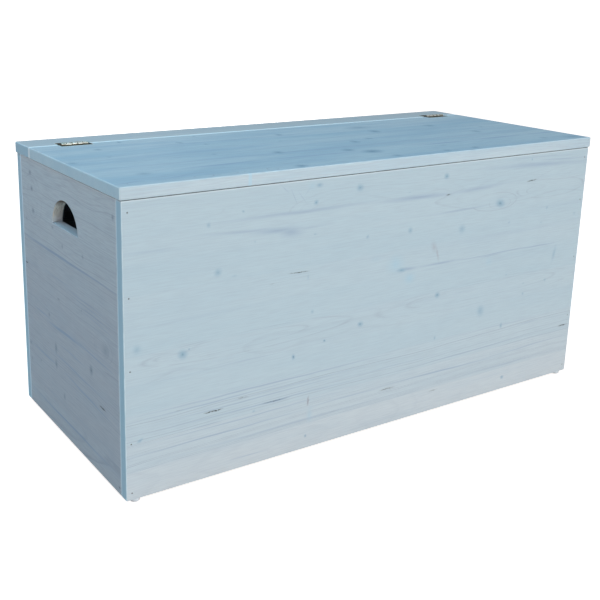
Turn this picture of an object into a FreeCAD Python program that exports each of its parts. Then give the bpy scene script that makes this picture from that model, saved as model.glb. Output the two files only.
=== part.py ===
import FreeCAD, Part
import math
import os
import re
import Sketcher
from FreeCAD import Vector

# A wooden storage chest: four glued-up spruce boards nailed into a box, a bottom screwed
# down on cleats, a fixed rail along the back of the top and a lid hinged to that rail.
# Millimetres. +X runs along the chest to the right, -Y is its front, +Z is up, and the
# origin lies on the floor under the middle of the whole chest.

doc = FreeCAD.newDocument("StorageChest")

# Every length that can be chosen by itself. Each one is a cell of the sheet.
SIZES = {
    # The box of boards
    "body_length": 1000.0,
    "body_depth": 440.0,
    "panel_height": 470.0,
    "board_thickness": 19.0,
    "board_round": 2.0,
    # The lid and the fixed rail behind it
    "lid_thickness": 19.5,
    "lid_gap": 0.3,
    "lid_round": 2.5,
    "rail_depth": 72.5,
    "seam_gap": 1.2,
    "end_overhang": 2.5,
    "face_overhang": 1.0,
    # The D-shaped hand hole in each end
    "hand_hole_width": 110.0,
    "hand_hole_height": 47.0,
    "hand_hole_drop": 45.0,
    "hand_hole_round": 1.2,
    # The bottom and the cleats under it
    "cleat_width": 20.0,
    "cleat_lift": 2.0,
    "bottom_thickness": 12.0,
    "bottom_clearance": 0.5,
    # Brads through the front and back boards into the ends of the side boards
    "brad_length": 45.0,
    "brad_radius": 0.8,
    "brad_head_radius": 1.3,
    "brad_head_height": 1.0,
    "brad_sink": 0.4,
    # Countersunk screws of the cleats and the bottom
    "screw_radius": 2.0,
    "screw_head_radius": 4.0,
    "cleat_screw_length": 30.0,
    "bottom_screw_length": 25.0,
    "screw_slot_width": 1.0,
    "screw_slot_depth": 1.2,
    # Countersunk screws of the hinges
    "hinge_screw_radius": 1.4,
    "hinge_screw_head_radius": 2.7,
    "hinge_screw_length": 12.0,
    "hinge_screw_spacing": 30.0,
    "hinge_slot_width": 0.8,
    "hinge_slot_depth": 0.7,
    # Dowels between the rail and the boards under it
    "dowel_radius": 4.0,
    "dowel_in_rail": 12.0,
    "dowel_in_board": 18.0,
    # Nail-on glides under the corners
    "glide_radius": 8.0,
    "glide_height": 6.0,
    "glide_round": 2.0,
    "glide_inset": 18.0,
    "glide_nail_radius": 1.2,
    "glide_nail_head_radius": 2.8,
    "glide_nail_head_height": 1.2,
    "glide_nail_sink": 0.8,
    "glide_nail_depth": 16.0,
    # Butt hinges let into the top of the rail and the lid
    "hinge_length": 50.0,
    "barrel_radius": 3.0,
    "pin_radius": 1.4,
    "pin_rise": 0.3,
    "barrel_lift": 0.3,
    "knuckle_gap": 0.25,
    "leaf_thickness": 1.5,
    "leaf_reach": 15.0,
    "leaf_notch_gap": 0.4,
    "leaf_round": 1.0,
    "mortise_end_gap": 4.0,
    "mortise_back_gap": 6.0,
    "mortise_front_gap": 1.0,
    "left_hinge_inset": 80.0,
    "right_hinge_inset": 66.0,
    # Clearances of round fasteners in their holes, and past their tips
    "fit_clearance": 0.05,
    "tip_clearance": 0.5,
}

# Places that follow from the sizes, as sums of their names.
PLACES = {
    "inner_length": "body_length - 2 * board_thickness",
    "inner_depth": "body_depth - 2 * board_thickness",
    "panel_top": "glide_height + panel_height",
    "lid_underside": "panel_top + lid_gap",
    "lid_top": "lid_underside + lid_thickness",
    "lid_length": "body_length + 2 * end_overhang",
    "top_back": "body_depth / 2 + face_overhang",
    "rail_front": "top_back - rail_depth",
    "rail_middle": "top_back - rail_depth / 2",
    "rail_thickness": "lid_thickness + lid_gap",
    "lid_back": "rail_front - seam_gap",
    "lid_depth": "lid_back + top_back",
    "lid_middle": "(lid_back - top_back) / 2",
    "hinge_line": "rail_front - seam_gap / 2",
    "pin_height": "lid_top + pin_rise",
    "mortise_depth": "barrel_radius + barrel_lift - pin_rise",
    "leaf_back": "barrel_radius + barrel_lift",
    "leaf_notch": "barrel_radius + leaf_notch_gap",
    "screw_line": "(leaf_notch + leaf_reach) / 2",
    "knuckle_pitch": "hinge_length / knuckle_count",
    "cleat_level": "glide_height + cleat_lift",
    "cleat_middle": "cleat_lift + cleat_width / 2",
    "short_cleat_length": "inner_depth - 2 * cleat_width",
    "bottom_level": "cleat_level + cleat_width",
    "hole_sill": "panel_height - hand_hole_drop - hand_hole_height",
    "end_board_middle": "body_length / 2 - board_thickness / 2",
    "face_board_middle": "body_depth / 2 - board_thickness / 2",
    "dowel_line": "rail_front + rail_dowel_share * rail_depth",
    "glide_line": "body_length / 2 - glide_inset",
}

# Counts and shares of the sizes that they follow.
COUNTS = {"knuckle_count": 5, "rail_dowel_share": 0.25}
BRAD_HEIGHT_SHARES = {
    "left": (0.026, 0.200, 0.449, 0.691, 0.962),
    "right": (0.030, 0.262, 0.528, 0.779, 0.960),
}
LONG_CLEAT_SCREW_SHARES = (0.06, 0.28, 0.50, 0.72, 0.94)
LONG_BOTTOM_SCREW_SHARES = (0.17, 0.39, 0.61, 0.83)
SHORT_CLEAT_SCREW_SHARES = (0.12, 0.50, 0.88)
SHORT_BOTTOM_SCREW_SHARES = (0.31, 0.69)
BACK_DOWEL_SHARES = (0.10, 0.37, 0.63, 0.90)
COUNTERSINK_ANGLE = 45.0

sheet = doc.addObject("Spreadsheet::Sheet", "Sizes")
for row, (size_name, size_value) in enumerate({**SIZES, **COUNTS}.items(), start=1):
    sheet.set("A%d" % row, size_name)
    sheet.set("B%d" % row, str(size_value))
    sheet.setAlias("B%d" % row, size_name)
doc.recompute()


def formula(text):
    """Write a sum of size and place names out as an expression on the sheet's cells."""
    def spell(match):
        word = match.group()
        if word in PLACES:
            return "(" + formula(PLACES[word]) + ")"
        return "Sizes." + word if word in SIZES or word in COUNTS else word
    return re.sub(r"[a-z][a-z_]*", spell, str(text))


def bind(item, target, text):
    """Tie one property of an object to a sum of sizes."""
    item.setExpression(target, formula(text))


# Each origin plane by the axis that it lies across, with the sense of its normal.
PLANES = {"x": ("YZ_Plane", 1), "y": ("XZ_Plane", -1), "z": ("XY_Plane", 1)}


class Drawing:
    """A sketch that lies across one axis of its body, at a level along that axis.

    Across x its own two directions are y and z, across y they are x and z, and
    across z they are x and y. A pad or pocket runs towards +1 or -1 of the axis.
    """

    def __init__(self, body, name, across, level="0"):
        role, self.sense = PLANES[across]
        plane = next(f for f in body.Origin.OriginFeatures if f.Role == role)
        self.body = body
        self.name = name
        self.sketch = body.newObject("Sketcher::SketchObject", name + "_sketch")
        self.sketch.AttachmentSupport = [(plane, "")]
        self.sketch.MapMode = "FlatFace"
        bind(self.sketch, "AttachmentOffset.Base.z", "%d * (%s)" % (self.sense, level))

    def limit(self, kind, text, *where, draft=1.0):
        """Add one dimension whose value is a sum of sizes, first drawn at a draft value."""
        place = self.sketch.addConstraint(Sketcher.Constraint(kind, *where, draft))
        bind(self.sketch, "Constraints[%d]" % place, text)

    def place(self, edge, point, u, v):
        """Hold a point of an edge at u, v from the body's own origin."""
        self.limit("DistanceX", u, -1, 1, edge, point)
        self.limit("DistanceY", v, -1, 1, edge, point)

    def circles(self, centres, radius):
        """Draw a circle of one radius at each of the centres."""
        for u, v in centres:
            unit = Part.Circle(Vector(0, 0, 0), Vector(0, 0, 1), 1.0)
            edge = self.sketch.addGeometry(unit, False)
            self.place(edge, 3, u, v)
            self.limit("Radius", radius, edge)
        return self

    def rectangle(self, low_u, low_v, high_u, high_v):
        """Draw an upright rectangle between two opposite corners."""
        corners = (Vector(0, 0), Vector(1, 0), Vector(1, 1), Vector(0, 1))
        edges = []
        for start, end in zip(corners, corners[1:] + corners[:1]):
            edges.append(self.sketch.addGeometry(Part.LineSegment(start, end), False))
        for edge, following in zip(edges, edges[1:] + edges[:1]):
            self.sketch.addConstraint(Sketcher.Constraint("Coincident", edge, 2, following, 1))
        for edge, course in zip(edges, ("Horizontal", "Vertical") * 2):
            self.sketch.addConstraint(Sketcher.Constraint(course, edge))
        self.place(edges[0], 1, low_u, low_v)
        self.place(edges[2], 1, high_u, high_v)
        return self

    def half_ellipse(self, sill, width, height):
        """Draw a flat sill centred on the body's origin, with half an ellipse over it."""
        wide, tall = SIZES[width] / 2, SIZES[height]
        if wide > tall:
            oval = Part.Ellipse(Vector(wide, 0), Vector(0, tall), Vector(0, 0))
            arc = Part.ArcOfEllipse(oval, 0, math.pi)
            axes = ((width, 2 * wide), ("2 * " + height, 2 * tall))
            course = "Horizontal"
        else:
            oval = Part.Ellipse(Vector(0, tall), Vector(-wide, 0), Vector(0, 0))
            arc = Part.ArcOfEllipse(oval, -math.pi / 2, math.pi / 2)
            axes = (("2 * " + height, 2 * tall), (width, 2 * wide))
            course = "Vertical"
        arch = self.sketch.addGeometry(arc, False)
        base = self.sketch.addGeometry(Part.LineSegment(Vector(-wide, 0), Vector(wide, 0)), False)
        self.sketch.addConstraint(Sketcher.Constraint("Coincident", base, 2, arch, 1))
        self.sketch.addConstraint(Sketcher.Constraint("Coincident", arch, 2, base, 1))
        self.sketch.exposeInternalGeometry(arch)
        self.place(arch, 3, "0", sill)
        for end in (1, 2):
            self.limit("DistanceY", sill, -1, 1, base, end)
        self.sketch.addConstraint(Sketcher.Constraint(course, base + 1))
        for axis, (span, draft) in enumerate(axes, start=1):
            self.limit("Distance", span, base + axis, draft=draft)
        return self

    def finish(self, kind, length, towards, taper):
        """Make the pad or pocket of this drawing, its length tied to a sum of sizes."""
        feature = self.body.newObject("PartDesign::" + kind, self.name)
        feature.Profile = self.sketch
        feature.Type = "Length"
        along = self.sense if kind == "Pad" else -self.sense
        feature.Reversed = towards != along
        feature.TaperAngle = taper
        bind(feature, "Length", length)
        return feature

    def pad(self, length, towards=1, taper=0.0):
        return self.finish("Pad", length, towards, taper)

    def pocket(self, depth, towards, taper=0.0):
        return self.finish("Pocket", depth, towards, taper)


def new_body(label, x, y, z):
    """Start a sub-part with its own origin at a place in the chest's frame."""
    body = doc.addObject("PartDesign::Body", label)
    body.Label = label
    body.AllowCompound = True
    for axis, place in zip("xyz", (x, y, z)):
        bind(body, "Placement.Base." + axis, place)
    return body


def edges_where(feature, wanted):
    """Names of the edges of a feature that a test picks, given its whole bounding box."""
    shape = feature.Shape
    return ["Edge%d" % number for number, edge in enumerate(shape.Edges, start=1)
            if wanted(edge, shape.BoundBox)]


def ease(body, feature, edges, radius):
    """Round the named edges of a feature, or all of them where none is named."""
    rounding = body.newObject("PartDesign::Fillet", "rounded_edges")
    rounding.Base = (feature, edges or ["Edge1"])
    rounding.UseAllEdges = not edges
    bind(rounding, "Radius", radius)


def board(label, place, length, depth, height, round_name):
    """Start a board with its edges eased, its origin under its own middle."""
    body = new_body(label, *place)
    blank = Drawing(body, "blank", "z")
    half_length = "(%s) / 2" % length
    half_depth = "(%s) / 2" % depth
    blank.rectangle("-" + half_length, "-" + half_depth, half_length, half_depth)
    slab = blank.pad(height)
    if round_name:
        doc.recompute()
        ease(body, slab, None, round_name)
    return body


def spread(shares, length):
    """Places along a length, measured from its middle, one for each share."""
    return ["(%s - 1 / 2) * (%s)" % (share, length) for share in shares]


def countersunk(body, name, across, level, centres, towards, radius, head_radius, depth,
                clearance):
    """Cut screw holes whose mouths widen at 45 degrees to the head's own radius."""
    shank = "%s + %s" % (radius, clearance)
    head = "%s + %s" % (head_radius, clearance)
    Drawing(body, name, across, level).circles(centres, shank).pocket(depth, towards)
    mouth = Drawing(body, name + "_mouth", across, level).circles(centres, head)
    mouth.pocket("%s - %s" % (head_radius, radius), towards, -COUNTERSINK_ANGLE)


def screws(body, across, level, centres, towards, radius, head_radius, length, slot_width,
           slot_depth):
    """Make countersunk screws with crossed slots, their flat heads lying at a level."""
    shank = Drawing(body, "shank", across, level).circles(centres, radius)
    shank.pad(length, towards)
    head = Drawing(body, "head", across, level).circles(centres, head_radius)
    head.pad("%s - %s" % (head_radius, radius), towards, -COUNTERSINK_ANGLE)
    reach = "(%s + %s) / 2" % (radius, head_radius)
    half = "%s / 2" % slot_width
    for name, wide, tall in (("slot", reach, half), ("cross_slot", half, reach)):
        slot = Drawing(body, name, across, level)
        for u, v in centres:
            slot.rectangle("%s - (%s)" % (u, wide), "%s - (%s)" % (v, tall),
                           "%s + %s" % (u, wide), "%s + %s" % (v, tall))
        slot.pocket(slot_depth, towards)


# The front and back boards cover the ends of the side boards.
for face, side in (("front", -1), ("back", 1)):
    middle = "%d * face_board_middle" % side
    panel = board(face + "_panel", ("0", middle, "glide_height"),
                  "body_length", "board_thickness", "panel_height", "board_round")
    outside = "%d * board_thickness / 2" % side
    inside = "%d * board_thickness / 2" % -side
    nails = []
    for end, sign in (("left", -1), ("right", 1)):
        for share in BRAD_HEIGHT_SHARES[end]:
            nails.append(("%d * end_board_middle" % sign, "%s * panel_height" % share))
    Drawing(panel, "brad_holes", "y", outside).circles(
        nails, "brad_radius + fit_clearance").pocket("board_thickness", -side)
    Drawing(panel, "brad_head_holes", "y", outside).circles(
        nails, "brad_head_radius + fit_clearance").pocket("brad_sink + brad_head_height", -side)
    screw_places = [(u, "cleat_middle") for u in spread(LONG_CLEAT_SCREW_SHARES, "inner_length")]
    Drawing(panel, "cleat_screw_holes", "y", inside).circles(
        screw_places, "screw_radius + fit_clearance").pocket(
        "cleat_screw_length - cleat_width + tip_clearance", side)
    Drawing(panel, "glide_nail_holes", "z").circles(
        [("-glide_line", "0"), ("glide_line", "0")], "glide_nail_radius + fit_clearance").pocket(
        "glide_nail_depth + tip_clearance", 1)
    if face == "back":
        dowel_places = [(u, "0") for u in spread(BACK_DOWEL_SHARES, "body_length")]
        Drawing(panel, "dowel_holes", "z", "panel_height").circles(
            dowel_places, "dowel_radius + fit_clearance").pocket(
            "dowel_in_board + tip_clearance", -1)

# The side boards stand between them, each with a hand hole under its top edge.
for end, side in (("left", -1), ("right", 1)):
    panel = board(end + "_side_panel", ("%d * end_board_middle" % side, "0", "glide_height"),
                  "board_thickness", "inner_depth", "panel_height", "board_round")
    outside = "%d * board_thickness / 2" % side
    inside = "%d * board_thickness / 2" % -side
    hole = Drawing(panel, "hand_hole", "x", outside)
    hole.half_ellipse("hole_sill", "hand_hole_width", "hand_hole_height")
    cut = hole.pocket("board_thickness", -side)
    doc.recompute()
    rims = edges_where(cut, lambda edge, whole: edge.BoundBox.XLength < whole.XLength / 2
                       and max(-edge.BoundBox.YMin, edge.BoundBox.YMax) < whole.YLength / 4)
    ease(panel, cut, rims, "hand_hole_round")
    nails = [("0", "%s * panel_height" % share) for share in BRAD_HEIGHT_SHARES[end]]
    for face, sign in (("front", -1), ("back", 1)):
        Drawing(panel, face + "_brad_holes", "y", "%d * inner_depth / 2" % sign).circles(
            nails, "brad_radius + fit_clearance").pocket(
            "brad_sink + brad_length - board_thickness + tip_clearance", -sign)
    screw_places = [(u, "cleat_middle")
                    for u in spread(SHORT_CLEAT_SCREW_SHARES, "short_cleat_length")]
    Drawing(panel, "cleat_screw_holes", "x", inside).circles(
        screw_places, "screw_radius + fit_clearance").pocket(
        "cleat_screw_length - cleat_width + tip_clearance", side)
    Drawing(panel, "dowel_hole", "z", "panel_height").circles(
        [("0", "dowel_line")], "dowel_radius + fit_clearance").pocket(
        "dowel_in_board + tip_clearance", -1)

# Brads, in a row down each corner of the box.
for face, sign in (("front", -1), ("back", 1)):
    for end, side in (("left", -1), ("right", 1)):
        row = new_body("%s_%s_brads" % (face, end),
                       "%d * end_board_middle" % side, "%d * body_depth / 2" % sign, "glide_height")
        nails = [("0", "%s * panel_height" % share) for share in BRAD_HEIGHT_SHARES[end]]
        Drawing(row, "shank", "y", "%d * brad_sink" % -sign).circles(
            nails, "brad_radius").pad("brad_length", -sign)
        Drawing(row, "head", "y", "%d * brad_sink" % -sign).circles(
            nails, "brad_head_radius").pad("brad_head_height", -sign)

# Cleats round the foot of the box, screwed to the boards from inside, and the bottom on them.
CLEATS = (
    ("front", "y", -1, "inner_length", LONG_CLEAT_SCREW_SHARES, LONG_BOTTOM_SCREW_SHARES),
    ("back", "y", 1, "inner_length", LONG_CLEAT_SCREW_SHARES, LONG_BOTTOM_SCREW_SHARES),
    ("left", "x", -1, "short_cleat_length", SHORT_CLEAT_SCREW_SHARES, SHORT_BOTTOM_SCREW_SHARES),
    ("right", "x", 1, "short_cleat_length", SHORT_CLEAT_SCREW_SHARES, SHORT_BOTTOM_SCREW_SHARES),
)
bottom = board("bottom_panel", ("0", "0", "bottom_level"), "inner_length - 2 * bottom_clearance",
               "inner_depth - 2 * bottom_clearance", "bottom_thickness", None)
for face, across, side, length, wall_shares, floor_shares in CLEATS:
    if across == "y":
        line = "%d * (inner_depth / 2 - cleat_width / 2)" % side
        spot = ("0", line, "cleat_level")
        extent = (length, "cleat_width")
        floor_places = [(u, line) for u in spread(floor_shares, length)]
        cleat_places = [(u, "0") for u in spread(floor_shares, length)]
    else:
        line = "%d * (inner_length / 2 - cleat_width / 2)" % side
        spot = (line, "0", "cleat_level")
        extent = ("cleat_width", length)
        floor_places = [(line, v) for v in spread(floor_shares, length)]
        cleat_places = [("0", v) for v in spread(floor_shares, length)]
    cleat = board(face + "_cleat", spot, *extent, "cleat_width", None)
    wall_places = [(u, "cleat_width / 2") for u in spread(wall_shares, length)]
    free_face = "%d * cleat_width / 2" % -side
    countersunk(cleat, "wall_screw_holes", across, free_face, wall_places, side,
                "screw_radius", "screw_head_radius", "cleat_width", "fit_clearance")
    Drawing(cleat, "floor_screw_holes", "z", "cleat_width").circles(
        cleat_places, "screw_radius + fit_clearance").pocket(
        "bottom_screw_length - bottom_thickness + tip_clearance", -1)
    countersunk(bottom, face + "_screw_holes", "z", "bottom_thickness", floor_places, -1,
                "screw_radius", "screw_head_radius", "bottom_thickness", "fit_clearance")
    screws(new_body(face + "_cleat_screws", *spot), across, free_face, wall_places, side,
           "screw_radius", "screw_head_radius", "cleat_screw_length",
           "screw_slot_width", "screw_slot_depth")
    screws(new_body(face + "_bottom_screws", "0", "0", "bottom_level"), "z", "bottom_thickness",
           floor_places, -1, "screw_radius", "screw_head_radius", "bottom_screw_length",
           "screw_slot_width", "screw_slot_depth")

# The fixed rail along the back of the top, and the lid in front of it.
rail = board("rear_rail", ("0", "rail_middle", "panel_top"),
             "lid_length", "rail_depth", "rail_thickness", "lid_round")
lid = board("lid_panel", ("0", "lid_middle", "lid_underside"),
            "lid_length", "lid_depth", "lid_thickness", "lid_round")

dowel_spots = [("%d * end_board_middle" % side, "dowel_line") for side in (-1, 1)]
dowel_spots += [(u, "face_board_middle") for u in spread(BACK_DOWEL_SHARES, "body_length")]
rail_spots = [(u, "%s - (rail_middle)" % v) for u, v in dowel_spots]
Drawing(rail, "dowel_holes", "z").circles(
    rail_spots, "dowel_radius + fit_clearance").pocket("dowel_in_rail + tip_clearance", 1)
dowels = new_body("rail_dowels", "0", "0", "panel_top")
Drawing(dowels, "rods", "z", "-dowel_in_board").circles(
    dowel_spots, "dowel_radius").pad("dowel_in_board + dowel_in_rail", 1)

# Two butt hinges, each lying in a mortise cut across the seam.
HINGES = (("left", "left_hinge_inset - body_length / 2"),
          ("right", "body_length / 2 - right_hinge_inset"))
LEAVES = (("rail", 1, rail, "rail_middle", "rail_thickness", "mortise_back_gap", (0, 2, 4)),
          ("lid", -1, lid, "lid_middle", "lid_thickness", "mortise_front_gap", (1, 3)))
for end, centre in HINGES:
    half_mortise = "hinge_length / 2 + mortise_end_gap"
    for holder, side, wood, wood_middle, wood_top, far_gap, knuckles in LEAVES:
        seam = "hinge_line - (%s)" % wood_middle
        far = "%s + %d * (leaf_reach + %s)" % (seam, side, far_gap)
        mortise = Drawing(wood, "%s_mortise" % end, "z", wood_top)
        low, high = (seam, far) if side > 0 else (far, seam)
        mortise.rectangle("%s - (%s)" % (centre, half_mortise), low,
                          "%s + %s" % (centre, half_mortise), high)
        mortise.pocket("mortise_depth", -1)
        screw_places = [("%d * hinge_screw_spacing / 2" % turn, "%d * screw_line" % side)
                        for turn in (-1, 1)]
        wood_places = [("%s + %s" % (centre, u), "%s + %s" % (seam, v)) for u, v in screw_places]
        Drawing(wood, "%s_screw_holes" % end, "z", "%s - mortise_depth" % wood_top).circles(
            wood_places, "hinge_screw_radius + fit_clearance").pocket(
            "hinge_screw_length - leaf_thickness + tip_clearance", -1)

        leaf = new_body("%s_hinge_%s_leaf" % (end, holder), centre, "hinge_line", "pin_height")
        plate = Drawing(leaf, "plate", "z", "-leaf_back")
        near, outer = "%d * leaf_notch" % side, "%d * leaf_reach" % side
        low, high = (near, outer) if side > 0 else (outer, near)
        plate.rectangle("-hinge_length / 2", low, "hinge_length / 2", high)
        flat = plate.pad("leaf_thickness")
        doc.recompute()
        corners = edges_where(flat, lambda edge, whole: edge.BoundBox.XLength < whole.XLength / 2
                              and edge.BoundBox.YLength < whole.YLength / 2
                              and edge.CenterOfMass.y * side > whole.Center.y * side)
        ease(leaf, flat, corners, "leaf_round")
        for knuckle in knuckles:
            start = "(%d * knuckle_pitch - hinge_length / 2 + knuckle_gap / 2)" % knuckle
            width = "knuckle_pitch - knuckle_gap"
            low, high = ("0", near) if side > 0 else (near, "0")
            tongue = Drawing(leaf, "tongue_%d" % knuckle, "z", "-leaf_back")
            tongue.rectangle(start, low, "%s + %s" % (start, width), high)
            tongue.pad("leaf_thickness")
            roll = Drawing(leaf, "barrel_%d" % knuckle, "x", start)
            roll.circles([("0", "0")], "barrel_radius").pad(width)
        Drawing(leaf, "pin_bore", "x", "-hinge_length / 2").circles(
            [("0", "0")], "pin_radius + fit_clearance").pocket("hinge_length", 1)
        countersunk(leaf, "screw_holes", "z", "leaf_thickness - leaf_back", screw_places, -1,
                    "hinge_screw_radius", "hinge_screw_head_radius", "leaf_thickness",
                    "fit_clearance")
        fixings = new_body("%s_hinge_%s_screws" % (end, holder),
                           centre, "hinge_line", "pin_height")
        screws(fixings, "z", "leaf_thickness - leaf_back", screw_places, -1,
               "hinge_screw_radius", "hinge_screw_head_radius", "hinge_screw_length",
               "hinge_slot_width", "hinge_slot_depth")
    pin = new_body("%s_hinge_pin" % end, centre, "hinge_line", "pin_height")
    Drawing(pin, "rod", "x", "-hinge_length / 2").circles(
        [("0", "0")], "pin_radius").pad("hinge_length")

# A glide under each corner, nailed up into the edge of the front or back board.
glide_spots = []
for face, sign in (("front", -1), ("back", 1)):
    for end, side in (("left", -1), ("right", 1)):
        spot = ("%d * glide_line" % side, "%d * face_board_middle" % sign)
        glide_spots.append(spot)
        glide = new_body("%s_%s_glide" % (face, end), *spot, "0")
        disc = Drawing(glide, "disc", "z").circles([("0", "0")], "glide_radius")
        puck = disc.pad("glide_height")
        doc.recompute()
        rims = edges_where(puck, lambda edge, whole: edge.BoundBox.ZMax < whole.Center.z)
        ease(glide, puck, rims, "glide_round")
        Drawing(glide, "head_recess", "z").circles(
            [("0", "0")], "glide_nail_head_radius + fit_clearance").pocket(
            "glide_nail_sink + glide_nail_head_height", 1)
        Drawing(glide, "nail_hole", "z").circles(
            [("0", "0")], "glide_nail_radius + fit_clearance").pocket("glide_height", 1)
nails = new_body("glide_nails", "0", "0", "0")
Drawing(nails, "head", "z", "glide_nail_sink").circles(
    glide_spots, "glide_nail_head_radius").pad("glide_nail_head_height")
Drawing(nails, "shank", "z", "glide_nail_sink").circles(
    glide_spots, "glide_nail_radius").pad("glide_height - glide_nail_sink + glide_nail_depth")

doc.recompute()

parts = [item for item in doc.Objects if item.isDerivedFrom("PartDesign::Body")]
for item in doc.Objects:
    if "Invalid" in item.State or "Error" in item.State:
        raise RuntimeError("%s failed: %s" % (item.Label, item.State))
for part in parts:
    if part.Shape.isNull() or not part.Shape.isValid():
        raise RuntimeError("%s has no valid shape" % part.Label)

os.makedirs("parts", exist_ok=True)
for part in parts:
    part.Shape.exportStep("parts/%s.step" % part.Label)
print("%d parts" % len(parts))
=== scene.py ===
import math
import bpy
from mathutils import Matrix, Vector


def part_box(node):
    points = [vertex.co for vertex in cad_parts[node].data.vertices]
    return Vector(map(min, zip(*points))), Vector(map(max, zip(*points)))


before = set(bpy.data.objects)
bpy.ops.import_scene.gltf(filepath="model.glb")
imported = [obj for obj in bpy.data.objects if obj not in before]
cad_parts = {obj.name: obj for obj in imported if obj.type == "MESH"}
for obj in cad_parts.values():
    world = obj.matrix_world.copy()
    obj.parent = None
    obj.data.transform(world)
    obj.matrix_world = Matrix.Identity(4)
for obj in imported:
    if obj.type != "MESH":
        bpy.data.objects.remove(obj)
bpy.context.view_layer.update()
bpy.context.scene.view_settings.view_transform = "Standard"


# The boards of the box
# Each board is spruce staves glued edge to edge, planed, eased along its edges and wiped with
# a thin blue-white glaze, which leaves the grain showing and turns the knots bluish grey.
def colour(red, green, blue):
    """A colour given as display values from 0 to 255, turned into linear light."""
    shares = [value / 255 for value in (red, green, blue)]
    return [s / 12.92 if s < 0.04045 else ((s + 0.055) / 1.055) ** 2.4 for s in shares] + [1.0]


def add(tree, kind, inputs=(), **settings):
    """Add a node, set its properties, and fill or link its inputs, given as (socket, value)."""
    made = tree.nodes.new("ShaderNode" + kind)
    for name, value in settings.items():
        setattr(made, name, value)
    for place, value in inputs:
        if isinstance(value, bpy.types.NodeSocket):
            tree.links.new(value, made.inputs[place])
        else:
            made.inputs[place].default_value = value
    return made


def maths(tree, operation, *values):
    """The result of one Math node."""
    return add(tree, "Math", list(enumerate(values)), operation=operation).outputs[0]


def vector_maths(tree, operation, *values):
    """The result of one Vector Math node, which for a length is a plain number."""
    made = add(tree, "VectorMath", list(enumerate(values)), operation=operation)
    return made.outputs[1 if operation == "LENGTH" else 0]


def split(tree, vector):
    """The three parts of a vector or of a colour."""
    return tuple(add(tree, "SeparateXYZ", [(0, vector)]).outputs)


def joined(tree, *parts):
    """A vector made of up to three parts."""
    return add(tree, "CombineXYZ", list(enumerate(parts))).outputs[0]


def ramp(tree, value, start, stop, low=0.0, high=1.0):
    """A number carried smoothly from low at start to high at stop."""
    made = add(tree, "MapRange", [(0, value), (1, start), (2, stop), (3, low), (4, high)])
    made.interpolation_type = "SMOOTHSTEP"
    return made.outputs[0]


def tinted(tree, share, under, over):
    """A colour moved by a share from one colour towards another."""
    over = over if isinstance(over, bpy.types.NodeSocket) else colour(*over)
    under = under if isinstance(under, bpy.types.NodeSocket) else colour(*under)
    made = add(tree, "Mix", [(0, share), (6, under), (7, over)], data_type="RGBA")
    return made.outputs[2]


def noise(tree, place, stretch, detail=2.0, rough=0.5, output=0):
    """Noise from 0 to 1 on a place stretched by so many turns per metre on its three axes. The
    output "Color" gives three such numbers at once."""
    made = add(tree, "TexNoise", [
        ("Vector", vector_maths(tree, "MULTIPLY", place, stretch)), ("Scale", 1.0),
        ("Detail", detail), ("Roughness", rough)])
    return made.outputs[output]


def chance(tree, number):
    """Three random numbers from 0 to 1 that one number picks."""
    made = add(tree, "TexWhiteNoise", [("W", number)], noise_dimensions="1D")
    return split(tree, made.outputs["Color"])


def new_group(name, inputs, outputs):
    """Start a shader node group; inputs are (name, kind, default) and outputs are names."""
    made = bpy.data.node_groups.new(name, "ShaderNodeTree")
    for label, kind, default in inputs:
        socket = made.interface.new_socket(label, in_out="INPUT", socket_type="NodeSocket" + kind)
        socket.default_value = default
    for label in outputs:
        made.interface.new_socket(label, in_out="OUTPUT", socket_type="NodeSocketFloat")
    return made, made.nodes.new("NodeGroupInput").outputs


def end_group(group, results):
    """Send the results out of a node group, by name."""
    out = group.nodes.new("NodeGroupOutput")
    for label, value in results.items():
        group.links.new(value, out.inputs[label])


# How a stave grew, in metres aside of its middle and under its face: where the heart of its
# tree can lie, how far that heart wanders along it, and how much it leans in each metre.
STAVE_WIDTH = 0.0467
YEAR_WIDTH = 0.0042
HEART_START, HEART_REACH = (-0.2, 0.01, 0), (0.4, 0.12, 0)
WANDER_START, WANDER_REACH = (-0.01, -0.0275, 0), (0.02, 0.055, 0)
LEAN_ASIDE, LEAN_UNDER = 0.024, 0.05
LINE_FLUTTER = 0.0026


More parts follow.
